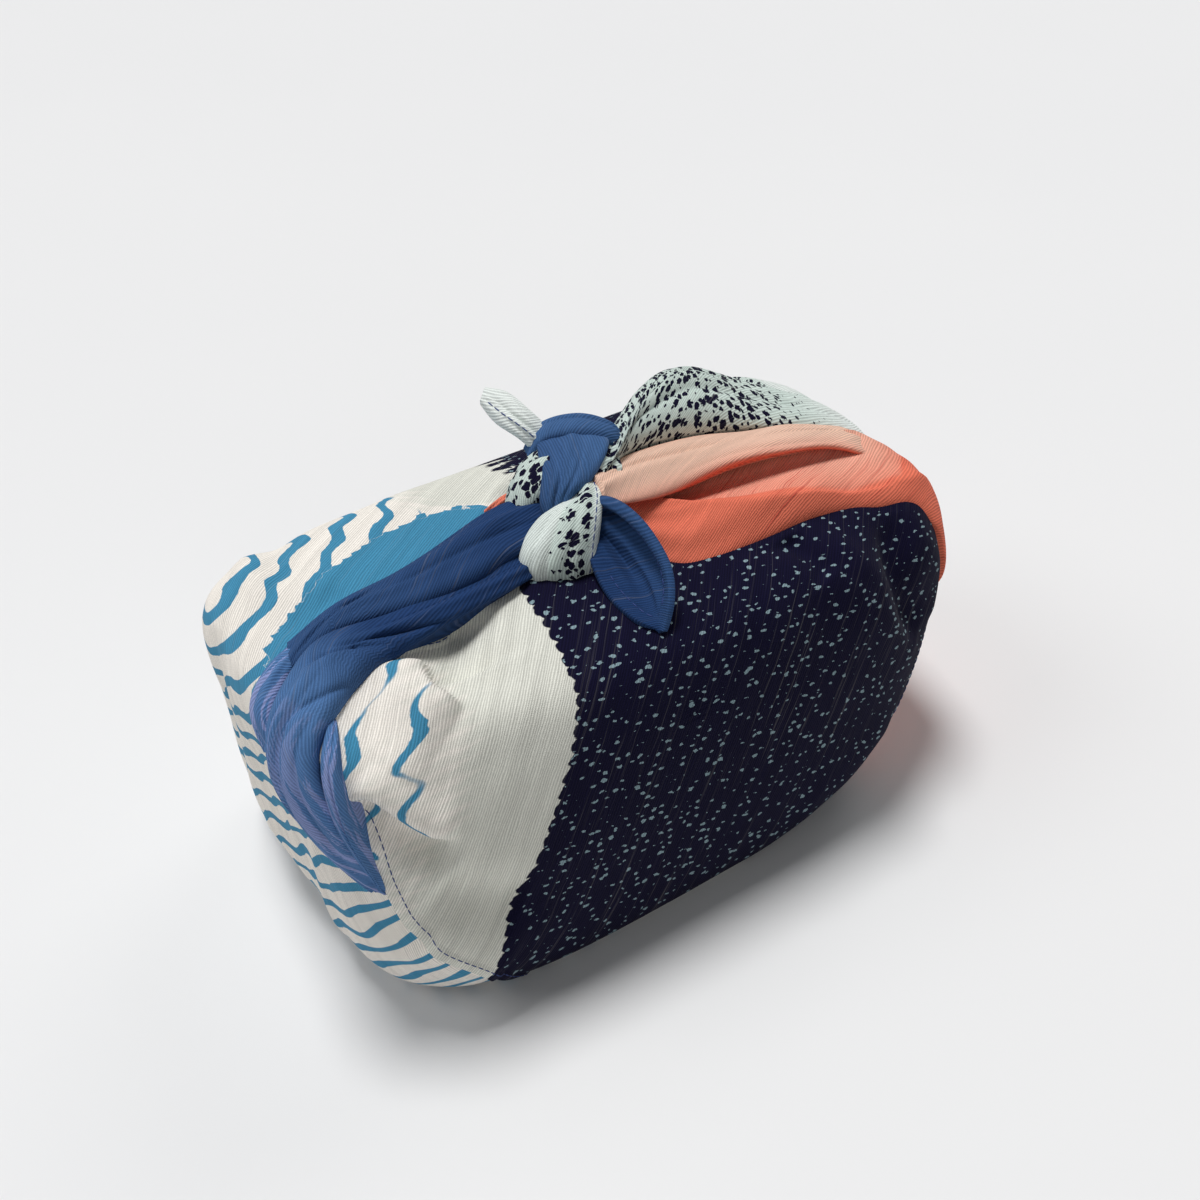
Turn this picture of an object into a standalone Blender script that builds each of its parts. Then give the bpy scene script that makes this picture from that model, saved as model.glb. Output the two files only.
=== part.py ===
"""Furoshiki wrap: one square cloth, hemmed all round, wrapped over a box-like filling and
tied on top in a square knot.

The wrapped cloth is one solid: the filled bundle, the gathered strands of the two tied
corners laid over it, the knot, and the two free ends.  Millimetres in the tables, metres in
the model.  The parcel's long side runs along X, its front faces -Y, it rests on Z = 0.
"""
import math

import bmesh
import bpy
import numpy as np

MM = 0.001

# ---------------------------------------------------------------- driving sizes (mm)
HEIGHT = 113.0           # filled bundle, without strands and knot
ROUND_STEPS = 80         # points round the bundle
RISE_STEPS = 33          # rows from the base to the crown
STRAND_DEPTH = 13.0      # how deep a gathered strand is bedded in the bundle
HEART_REACH = 60.0       # half length of the bundle's heart line
ROLL_DEPTH = 2.5         # lower half of a strand that lies free
LEAF_THICKNESS = 2.4     # the flat free end, cloth with its hem

# Filled bundle: half sizes from the middle lines at each height.
#   height, left, right, front, back
PROFILE = [
    (0.0, 99.0, 56.0, 62.0, 56.0),
    (1.2, 103.0, 63.0, 64.0, 58.5),
    (4.0, 107.5, 71.0, 66.0, 60.5),
    (9.0, 112.0, 80.0, 67.5, 62.0),
    (18.0, 115.5, 92.0, 68.5, 63.0),
    (32.0, 118.0, 104.0, 68.5, 63.0),
    (50.0, 118.5, 112.0, 67.0, 62.5),
    (68.0, 119.5, 115.5, 64.5, 62.5),
    (86.0, 120.5, 116.0, 60.5, 62.0),
    (97.0, 120.0, 113.5, 56.5, 60.5),
    (104.0, 117.0, 108.0, 52.0, 57.5),
    (108.0, 108.0, 99.0, 45.0, 50.0),
    (111.0, 84.0, 78.0, 32.0, 35.0),
    (112.6, 46.0, 44.0, 16.0, 17.0),
    (HEIGHT, 0.0, 0.0, 0.0, 0.0),
]

# Squareness of the four corners in plan: 2 is round, higher is squarer.
CORNERS = {"left_back": 7.5, "left_front": 4.4, "right_front": 3.6, "right_back": 4.6}

# Folds pressed into the bundle's surface.
#   name, half width, height (minus is a trough), line along the fold (x, y, z)
FOLDS = [
    ("pleat_edge", 5, 1.8, [(-74, -12, 112), (-78, -24, 111), (-81, -35, 109), (-76, -42, 108)]),
    ("pleat_back", 8, -2.6, [(-72, -16, 112), (-75, -27, 111), (-76, -36, 109), (-69, -43, 108)]),
    ("front_dent", 9, -2.6, [(-108, -47, 91), (-105, -51, 86), (-99, -55, 80), (-89, -59, 75)]),
    ("front_swell", 12, 1.6, [(-99, -49, 98), (-93, -53, 94), (-86, -57, 87)]),
    ("hem_step", 4, 1.3, [(-108, -50, 79), (-106, -53, 63), (-102, -56, 50), (-97, -60, 40), (-87, -64, 26)]),
    ("right_ridge_upper", 7, 2.4, [(40, -37, 110), (51, -51, 104), (69, -58, 83), (98, -57, 48)]),
    ("right_notch", 5, -3.2, [(47, -34, 110), (48, -43, 108), (51, -51, 104)]),
    ("right_ridge_middle", 6, 3.0, [(55, -38, 109), (62, -50, 104), (70, -55, 94), (81, -58, 73)]),
    ("right_valley", 8, -6.0, [(85, -38, 107), (81, -51, 97), (82, -56, 83), (92, -56, 62)]),
    ("right_ridge_end", 6, 3.4, [(91, -45, 101), (105, -46, 75), (102, -54, 61)]),
    ("front_soft", 9, 1.4, [(34, -35, 110), (29, -50, 105), (27, -60, 89)]),
    ("front_low", 12, 1.6, [(35, -68, 24), (60, -65, 23), (83, -61, 31)]),
    ("top_pleat", 6, -1.8, [(-104, 11, 109), (-91, 18, 110), (-81, 17, 111)]),
    ("top_swell", 7, 1.4, [(-112, 9, 107), (-93, 23, 110), (-77, 25, 111)]),
    ("end_trough", 7, -1.8, [(-121, -3, 89), (-119, -13, 65), (-117, -35, 63), (-110, -49, 53)]),
    ("end_swell", 9, 1.6, [(-120, 12, 96), (-118, 22, 38), (-118, -4, 30)]),
]

# Gathered strands, a row per section: the strand's two edges and the rise between them.
#   edge one x, y, z,   edge two x, y, z,   rise
STRANDS = {
    "left_strip": [
        (-99, 7, 111, -103, 0, 112, 2),
        (-110, 3, 108, -112, -7, 110, 4),
        (-118, -1, 102, -119, -13, 106, 4),
        (-121, -10, 92, -121, -18, 97, 2),
    ],
    "left_upper": [
        (-104, 7, 110, -107, -3, 111, 3),
        (-86, 10, 112, -91, -1, 114, 6),
        (-66, 11, 113, -67, -7, 117, 8),
        (-45, 13, 116, -49, -8, 119, 9),
        (-29, 15, 121, -36, -4, 122, 9),
        (-14, 12, 125, -18, -3, 125, 7),
    ],
    "left_main": [
        (-18, 2, 123, -22, -7, 120, 4),
        (-40, -5, 120, -40, -10, 117, 4),
        (-74, -4, 116, -67, -14, 113, 6),
        (-97, 0, 113, -90, -18, 110, 10),
        (-112, -8, 110, -104, -25, 109, 10),
        (-119, -14, 104, -113, -32, 106, 9),
        (-122, -21, 93, -116, -39, 97, 8),
        (-119, -33, 76, -113, -47, 82, 6),
        (-111, -49, 62, -108, -51, 62, 2),
    ],
    "left_side": [
        (-106, -24, 109, -105, -27, 108, 2),
        (-113, -33, 105, -109, -38, 103, 6),
        (-115, -42, 90, -110, -46, 89, 6),
        (-111, -49, 71, -108, -51, 69, 4),
        (-108, -51, 61, -107, -52, 60, 1),
    ],
    "right_front": [
        (-3, -6, 131, -7, -11, 126, 5),
        (11, -6, 126, 2, -20, 116, 9),
        (24, -6, 121, 11, -30, 112, 12),
        (50, -10, 117, 36, -31, 111, 12),
        (80, -18, 115, 67, -34, 110, 9),
        (104, -25, 108, 100, -38, 103, 6),
        (115, -21, 88, 111, -36, 82, 5),
        (114, -13, 56, 112, -24, 52, 4),
        (105, -5, 33, 105, -12, 33, 2),
    ],
    "right_middle": [
        (-1, 0, 133, -1, -5, 130, 4),
        (18, 10, 128, 10, -5, 125, 6),
        (43, 13, 123, 25, -4, 119, 7),
        (75, 8, 117, 60, -5, 117, 7),
        (105, 2, 107, 101, -17, 109, 5),
        (117, 3, 87, 115, -14, 87, 5),
        (115, 2, 55, 114, -9, 54, 4),
        (106, 1, 33, 106, -5, 33, 2),
    ],
    "right_back": [
        (10, 14, 133, -1, 1, 131, 6),
        (33, 34, 127, 18, 10, 128, 10),
        (54, 45, 119, 43, 13, 123, 12),
        (80, 45, 112, 72, 8, 118, 9),
        (104, 24, 106, 104, 1, 107, 5),
        (117, 17, 87, 117, 2, 87, 4),
        (115, 9, 55, 115, 1, 55, 4),
        (106, 5, 33, 106, 0, 33, 2),
    ],
    "knot_back": [
        (-16, 20, 118, -30, 4, 118, 5),
        (-10, 22, 127, -22, 6, 127, 7),
        (2, 20, 130, -8, 2, 130, 8),
        (12, 16, 127, 4, -3, 126, 7),
    ],
    "knot_over": [
        (-12, 21, 136, 11, 12, 136, 5),
        (-15, 14, 135, 6, 3, 135, 6),
        (-18, 8, 132, -1, -2, 132, 6),
        (-20, 2, 128, -8, -3, 129, 5),
        (-20, -2, 122, -12, -6, 123, 4),
    ],
    "knot_under": [
        (-9, 1, 130, -1, 6, 131, 4),
        (-15, -2, 127, -4, -3, 129, 5),
        (-22, -1, 124, -8, -9, 124, 6),
        (-29, -2, 119, -10, -13, 119, 6),
        (-33, -5, 110, -13, -15, 110, 5),
    ],
}

# Strands that lie free of the bundle, same columns.
FREE_STRANDS = {
    "knot_roll": [
        (-14, 25, 133, -12, 19, 138, 4),
        (-5, 28, 138, -5, 20, 142, 4),
        (8, 24, 137, 7, 15, 140, 4),
        (16, 15, 128, 13, 8, 131, 3),
    ],
    "peeping_fold": [
        (-31, 22, 117, -29, 17, 115, 2),
        (-23, 18, 124, -22, 13, 121, 3),
        (-15, 11, 129, -14, 5, 126, 3),
    ],
    "back_tail": [
        (-9, 20, 129, -2, 23, 134, 3),
        (-14, 26, 136, -7, 30, 141, 3),
        (-18, 34, 139, -10, 39, 144, 3),
        (-19, 41, 142, -15, 44, 145, 2),
    ],
}

# The flat free end: a row per section, its two edges and how far it sags between them.
#   edge one x, y, z,   edge two x, y, z,   sag
LEAF = [
    (-14, -12, 118, -5, 0, 127, 0),
    (-16, -25, 115, 4, -13, 126, 2),
    (-16, -35, 113, 6, -31, 122, 3),
    (-12, -44, 110, 2, -40, 115, 2),
    (-9, -48, 108, -7, -48, 109, 0),
]


def spline(position, rows):
    """Smooth pass through the rows of a table; position counts rows."""
    points = np.asarray(rows, float)
    last = len(points) - 1
    position = np.clip(np.asarray(position, float), 0, last)
    index = np.minimum(position.astype(int), last - 1)
    f = (position - index)[..., None]
    before, start = points[np.maximum(index - 1, 0)], points[index]
    end, after = points[index + 1], points[np.minimum(index + 2, last)]
    bend = 2 * before - 5 * start + 4 * end - after
    return start + 0.5 * f * (end - before + f * (bend + f * (3 * (start - end) + after - before)))


def signed_power(value, squareness):
    return np.sign(value) * np.maximum(np.abs(value), 1e-9) ** (2.0 / squareness)


def bundle_point(angle, row):
    """Point of the plain bundle: angle goes round in plan, row counts rows of PROFILE."""
    height, left, right, front, back = np.moveaxis(spline(row, PROFILE), -1, 0)
    across, deep = np.cos(angle), np.sin(angle)
    at_right = np.where(deep > 0, CORNERS["right_back"], CORNERS["right_front"])
    at_left = np.where(deep > 0, CORNERS["left_back"], CORNERS["left_front"])
    squareness = np.where(across > 0, at_right, at_left)
    x = np.where(across > 0, right, left) * signed_power(across, squareness)
    y = np.where(deep > 0, back, front) * signed_power(deep, squareness)
    return np.stack([x, y, height], -1)


def fold_relief(points):
    """Height of the pressed folds at each point."""
    relief = np.zeros(len(points))
    for name, width, height, line in FOLDS:
        path = spline(np.linspace(0, len(line) - 1, 14), line)
        nearest = np.full(len(points), 1e9)
        along = np.zeros(len(points))
        for i in range(len(path) - 1):
            step = path[i + 1] - path[i]
            t = np.clip(((points - path[i]) @ step) / (step @ step), 0, 1)
            distance = np.linalg.norm(points - (path[i] + t[:, None] * step), axis=1)
            closer = distance < nearest
            nearest[closer] = distance[closer]
            along[closer] = (i + t[closer]) / (len(path) - 1)
        fade = np.clip(np.minimum(along, 1 - along) / 0.22, 0, 1)
        fade = 0.25 + 0.75 * fade * fade * (3 - 2 * fade)
        relief += height * fade * np.exp(-(nearest / width) ** 2)
    return relief


def bundle_rows():
    """Rows of points from the base up; the last row is the crown."""
    turn = (np.arange(ROUND_STEPS) + 0.5) / ROUND_STEPS * 2 * math.pi
    angle = turn - 0.16 * np.sin(4 * turn)
    row = np.linspace(0, len(PROFILE) - 1, RISE_STEPS)
    angle, row = np.meshgrid(angle, row)
    points = bundle_point(angle, row)
    inner = np.clip(row, 0.02, len(PROFILE) - 1.02)
    around = bundle_point(angle + 0.001, row) - bundle_point(angle - 0.001, row)
    upward = bundle_point(angle, inner + 0.02) - bundle_point(angle, inner - 0.02)
    normal = np.cross(around, upward)
    normal /= np.maximum(np.linalg.norm(normal, axis=-1, keepdims=True), 1e-9)
    relief = fold_relief(points.reshape(-1, 3)).reshape(row.shape)
    relief *= np.clip((points[..., 2] - 0.5) / 8.0, 0, 1)
    points = points + normal * relief[..., None]
    points[..., 2] = np.maximum(points[..., 2], 0)
    return points


def from_heart(points):
    """Direction from the bundle's heart, a line along its middle, to each point."""
    heart = np.zeros_like(points)
    heart[..., 0] = np.clip(points[..., 0], -HEART_REACH, HEART_REACH)
    heart[..., 2] = HEIGHT / 2
    ray = points - heart
    return ray / np.maximum(np.linalg.norm(ray, axis=-1, keepdims=True), 1e-9)


def outward(edge_one, edge_two):
    """Unit direction square to the strand, away from the bundle's heart, at each section."""
    middle = (edge_one + edge_two) / 2
    out = np.cross(edge_two - edge_one, np.gradient(middle, axis=0))
    out /= np.maximum(np.linalg.norm(out, axis=1, keepdims=True), 1e-9)
    return out * np.sign(np.sum(out * from_heart(middle), axis=1, keepdims=True) + 1e-9)


def strand_sections(rows, depth, along=3, over=8, under=2):
    """Closed sections of a strand: over its rise, and back under it."""
    count = (len(rows) - 1) * along + 1
    table = spline(np.linspace(0, len(rows) - 1, count), rows)
    one, two, rise = table[:, 0:3], table[:, 3:6], table[:, 6]
    out = outward(one, two)
    top = (1 - np.cos(np.linspace(0, math.pi, over))) / 2
    low = (1 + np.cos(np.linspace(0, math.pi, under + 2)[1:-1])) / 2
    share = np.concatenate([top, low])
    arc = np.sqrt(np.maximum(1 - (2 * share - 1) ** 2, 0))
    arc[over:] *= -1
    chord = one[:, None] + (two - one)[:, None] * share[None, :, None]
    over_the_rise = out[:, None] * (rise[:, None] * arc)[..., None]
    under_it = from_heart(chord) * (depth * arc)[None, :, None]
    return chord + np.where(arc[None, :, None] > 0, over_the_rise, under_it)


def leaf_sections(along=3, across=7):
    """Closed sections of the flat free end: its face, then its back."""
    count = (len(LEAF) - 1) * along + 1
    table = spline(np.linspace(0, len(LEAF) - 1, count), LEAF)
    one, two, sag = table[:, 0:3], table[:, 3:6], table[:, 6]
    out = outward(one, two)
    share = np.linspace(0, 1, across)
    dip = -sag[:, None] * np.sin(share * math.pi)[None, :]
    face = one[:, None] + (two - one)[:, None] * share[None, :, None]
    face = face + out[:, None] * (dip + LEAF_THICKNESS / 2)[..., None]
    back = face - out[:, None] * LEAF_THICKNESS
    return np.concatenate([face, back[:, ::-1]], axis=1)


def loft(name, sections, collection, crown=False):
    """Closed mesh object through rows of points; crown ends in one point instead of a cap."""
    bm = bmesh.new()
    body = sections[:-1] if crown else sections
    rows = [[bm.verts.new(tuple(float(v) * MM for v in point)) for point in row] for row in body]
    sides = len(rows[0])
    for low, high in zip(rows, rows[1:]):
        for i in range(sides):
            j = (i + 1) % sides
            bm.faces.new((low[i], low[j], high[j], high[i]))
    base = bm.faces.new(rows[0][::-1])
    if crown:
        tip = bm.verts.new(tuple(float(v) * MM for v in sections[-1].mean(axis=0)))
        for i in range(sides):
            bm.faces.new((rows[-1][i], rows[-1][(i + 1) % sides], tip))
    else:
        bm.faces.new(rows[-1])
    bmesh.ops.recalc_face_normals(bm, faces=bm.faces)
    bmesh.ops.triangulate(bm, faces=[face for face in bm.faces if face is not base])
    mesh = bpy.data.meshes.new(name)
    bm.to_mesh(mesh)
    bm.free()
    mesh.shade_smooth()
    piece = bpy.data.objects.new(name, mesh)
    collection.objects.link(piece)
    return piece


def cloth_material():
    material = bpy.data.materials.new("slub_cotton")
    material.use_nodes = True
    shader = material.node_tree.nodes["Principled BSDF"]
    shader.inputs["Base Color"].default_value = (0.045, 0.05, 0.13, 1.0)
    shader.inputs["Roughness"].default_value = 0.85
    shader.inputs["Metallic"].default_value = 0.0
    return material


def new_collection(name):
    collection = bpy.data.collections.new(name)
    bpy.context.scene.collection.children.link(collection)
    return collection


def hide_helper(piece):
    piece.hide_render = True
    piece.display_type = "WIRE"


def join_piece(body, piece):
    union = body.modifiers.new("join_" + piece.name, "BOOLEAN")
    union.operation = "UNION"
    union.solver = "MANIFOLD"
    union.object = piece
    hide_helper(piece)


def main():
    for piece in list(bpy.data.objects):
        bpy.data.objects.remove(piece, do_unlink=True)
    wrap = new_collection("furoshiki_wrap")
    helpers = new_collection("furoshiki_wrap_helpers")
    body = loft("wrapped_cloth", bundle_rows(), wrap, crown=True)
    body.data.materials.append(cloth_material())
    for name, rows in STRANDS.items():
        join_piece(body, loft(name, strand_sections(rows, STRAND_DEPTH), helpers))
    for name, rows in FREE_STRANDS.items():
        join_piece(body, loft(name, strand_sections(rows, ROLL_DEPTH), helpers))
    join_piece(body, loft("front_leaf", leaf_sections(), helpers))


main()
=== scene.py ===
"""Furoshiki wrap on a pale floor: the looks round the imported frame.

One square cloth, hemmed all round, is wrapped over a box-like filling and tied on top.
The bundle, the strands of the two tied corners, the knot and the free ends are built here
as cloth surfaces.  They follow the CAD solid, and some folds are finer than the solid's.
Tables are in millimetres where they don't say otherwise.
"""
import math

import bmesh
import bpy
import numpy as np
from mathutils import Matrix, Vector


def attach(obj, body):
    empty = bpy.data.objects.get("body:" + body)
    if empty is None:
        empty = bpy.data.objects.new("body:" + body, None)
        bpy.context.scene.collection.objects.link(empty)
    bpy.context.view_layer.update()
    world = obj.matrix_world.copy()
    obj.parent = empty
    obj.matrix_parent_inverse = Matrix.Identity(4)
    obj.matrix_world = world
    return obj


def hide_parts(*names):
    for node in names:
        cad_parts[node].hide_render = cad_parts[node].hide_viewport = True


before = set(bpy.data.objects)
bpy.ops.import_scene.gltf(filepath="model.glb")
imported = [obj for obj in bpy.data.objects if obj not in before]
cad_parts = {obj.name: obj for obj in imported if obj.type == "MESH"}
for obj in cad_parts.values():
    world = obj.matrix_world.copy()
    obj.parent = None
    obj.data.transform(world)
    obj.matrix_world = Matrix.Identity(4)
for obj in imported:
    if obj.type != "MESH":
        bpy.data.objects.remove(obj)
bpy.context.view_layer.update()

MM = 0.001
NODE = "wrapped_cloth"

# ---- driving sizes (mm)
HEIGHT = 113.0           # filled bundle, without strands and knot
STRAND_DEPTH = 13.0      # how deep a gathered strand is bedded in the bundle
KNOT_DEPTH = 8.0         # the same for the loops of the knot
FOLD_DEPTH = 5.5         # and for the fold that overhangs the right front strand
HEART_REACH = 60.0       # half length of the bundle's heart line
ROLL_DEPTH = 2.5         # lower half of a strand that lies free
LEAF_THICKNESS = 1.5     # the flat free end
HEM_WIDTH = 4.8          # turned hem
HEM_RISE = 0.55          # how much thicker the hem is than one layer
STITCH = 2.3             # hem stitch
STITCH_GAP = 0.5
THREAD = 0.19            # half thickness of the stitching thread
SEAM_INSET = 0.9         # from the hem's inner edge to its stitches
SEAM_START = 0.4         # before the first stitch of a seam
RIB_PITCH = 0.9          # slub ribs of the weave
PICK_PITCH = 0.62        # fine threads across the ribs
STRIPE_PITCH = 11.5      # wavy stripes of the print
SCALLOP_PITCH = 11.0     # scalloped edge of the dye bands, two scallops in each
FLAP_LIFT = 0.9          # outer flap above the bundle
FLAP_TUCK = 1.9          # how far its edge turns down
HEM_UNDER = 2.5          # and how far it runs back beneath
DYE_ORIGIN = 400         # keeps the print's coordinates above zero
ZONES = 8.0              # dye zones across the cloth, see below
STRAND_SEED = 20         # random draws of the first strand

# Filled bundle: half sizes from the middle lines at each height.
#   height, left, right, front, back
PROFILE = [
    (0.0, 99.0, 56.0, 62.0, 56.0),
    (1.2, 103.0, 63.0, 64.0, 58.5),
    (4.0, 107.5, 71.0, 66.0, 60.5),
    (9.0, 112.0, 80.0, 67.5, 62.0),
    (18.0, 115.5, 92.0, 68.5, 63.0),
    (32.0, 118.0, 104.0, 68.5, 63.0),
    (50.0, 118.5, 112.0, 67.0, 62.5),
    (68.0, 119.5, 115.5, 64.5, 62.5),
    (86.0, 120.5, 116.0, 60.5, 62.0),
    (97.0, 120.0, 113.5, 56.5, 60.5),
    (104.0, 117.0, 108.0, 52.0, 57.5),
    (108.0, 108.0, 99.0, 45.0, 50.0),
    (111.0, 84.0, 78.0, 32.0, 35.0),
    (112.6, 46.0, 44.0, 16.0, 17.0),
    (HEIGHT, 0.0, 0.0, 0.0, 0.0),
]

# Squareness of the four corners in plan: 2 is round, higher is squarer.
CORNERS = {"left_back": 7.5, "left_front": 4.4, "right_front": 3.6, "right_back": 4.6}

# Folds pressed into the bundle's surface.  A lean makes one flank steep: plus is the flank
# on the left hand, looking along the line with the cloth's outside up.
#   name, half width, height (minus is a trough), lean, line along the fold (x, y, z)
FOLDS = [
    ("pleat_edge", 8, 7.0, 0.78,
     [(-75, -19, 112), (-78, -28, 111), (-79, -34, 110), (-74, -43, 108)]),
    ("pocket", 12, -9.0, 0, [(-57, -6, 112), (-63, -16, 112), (-66, -25, 111), (-67, -33, 110)]),
    ("pocket_rim", 8, 2.0, 0, [(-80, -38, 109), (-72, -44, 108), (-62, -46, 107), (-50, -48, 106)]),
    ("hem_valley", 6, -8.0, 0.2,
     [(-111, -42, 95), (-107, -48, 90), (-101, -53, 82), (-95, -56, 76), (-87, -60, 72)]),
    ("over_valley", 7, 4.0, 0, [(-106, -42, 103), (-102, -49, 97), (-95, -54, 89), (-86, -58, 82)]),
    ("mid_ridge", 7, 1.8, 0, [(-80, -34, 110), (-90, -43, 107), (-99, -47, 102)]),
    ("hem_flare", 12, 4.4, 0, [(-101, -56, 42), (-90, -62, 30), (-76, -66, 20)]),
    ("above_flare", 10, -4.2, 0, [(-96, -58, 62), (-84, -62, 52), (-70, -65, 44)]),
    ("right_ridge_upper", 7, 2.4, 0.3, [(40, -37, 110), (51, -51, 104), (69, -58, 83), (98, -57, 48)]),
    ("right_notch", 5, -3.2, 0.3, [(47, -34, 110), (48, -43, 108), (51, -51, 104)]),
    ("right_ridge_middle", 6, 3.0, 0, [(55, -38, 109), (62, -50, 104), (70, -55, 94), (81, -58, 73)]),
    ("right_valley", 8, -6.0, 0, [(85, -38, 107), (81, -51, 97), (82, -56, 83), (92, -56, 62)]),
    ("right_ridge_end", 6, 1.6, 0, [(91, -45, 101), (105, -46, 75), (102, -54, 61)]),
    ("front_soft", 9, 1.4, 0, [(34, -35, 110), (29, -50, 105), (27, -60, 89)]),
    ("front_low", 12, 1.6, 0, [(35, -68, 24), (60, -65, 23), (83, -61, 31)]),
    ("top_pleat", 6, -1.8, 0, [(-104, 11, 109), (-91, 18, 110), (-81, 17, 111)]),
    ("top_swell", 7, 1.4, 0, [(-112, 9, 107), (-93, 23, 110), (-77, 25, 111)]),
    ("end_trough", 7, -1.8, 0, [(-121, -3, 89), (-119, -13, 65), (-117, -35, 63), (-110, -49, 53)]),
    ("end_swell", 9, 1.6, 0, [(-120, 12, 96), (-118, 22, 38), (-118, -4, 30)]),
    ("left_pull_one", 4, 1.2, 0.4, [(-119, 6, 98), (-120, 4, 70), (-117, 14, 20)]),
    ("left_pull_two", 4, 1.2, 0.4, [(-119, -8, 88), (-119, -8, 60), (-116, -4, 12)]),
    ("left_pull_three", 4, 1.2, 0.4, [(-118, -22, 80), (-118, -24, 50), (-114, -28, 10)]),
    ("left_ear_edge", 4, -1.6, 0, [(-117, 34, 104), (-119, 30, 80), (-119, 34, 40)]),
    ("back_left_one", 6, 1.6, 0.4, [(-104, 22, 110), (-100, 52, 104), (-86, 61, 74), (-76, 62, 30)]),
    ("back_left_two", 6, -1.6, 0, [(-92, 30, 110), (-88, 54, 103), (-70, 62, 70)]),
    ("back_right_one", 6, 1.8, 0.4, [(92, 24, 107), (88, 48, 103), (78, 60, 80), (60, 62, 30)]),
    ("back_right_two", 6, -1.8, 0, [(78, 38, 108), (74, 54, 102), (62, 62, 66)]),
    ("back_soft", 16, 1.2, 0, [(-30, 61, 92), (-8, 62, 60), (20, 62, 24)]),
    ("right_end_one", 5, 1.6, 0.4, [(116, -8, 86), (110, -10, 46), (84, -14, 10)]),
    ("right_end_two", 5, -1.6, 0, [(116, 14, 86), (110, 16, 46), (84, 20, 10)]),
    ("right_end_three", 5, 1.6, 0.4, [(115, 26, 86), (109, 32, 46), (80, 40, 10)]),
]

# Lower edge of the outer flap, from the floor up the left side and under the left strands.
FLAP_LEFT = [
    (-72, -62, 0.4), (-82, -65, 12), (-88, -64, 25), (-100, -59, 40), (-105, -55, 50), (-108, -52, 63),
    (-110, -48, 80), (-113, -42, 92), (-112, -32, 103), (-97, -16, 110), (-70, -9, 112), (-38, -4, 113),
]
# The same on the right, from the floor up the corner and under the right strands.
FLAP_RIGHT = [
    (58, -56, 0.4), (76, -56, 9), (85, -56, 22), (96, -52, 38), (106, -45, 52), (113, -36, 68),
    (114, -30, 82), (112, -28, 92), (108, -26, 102), (88, -20, 109), (60, -12, 112), (30, -5, 113),
]

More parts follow.
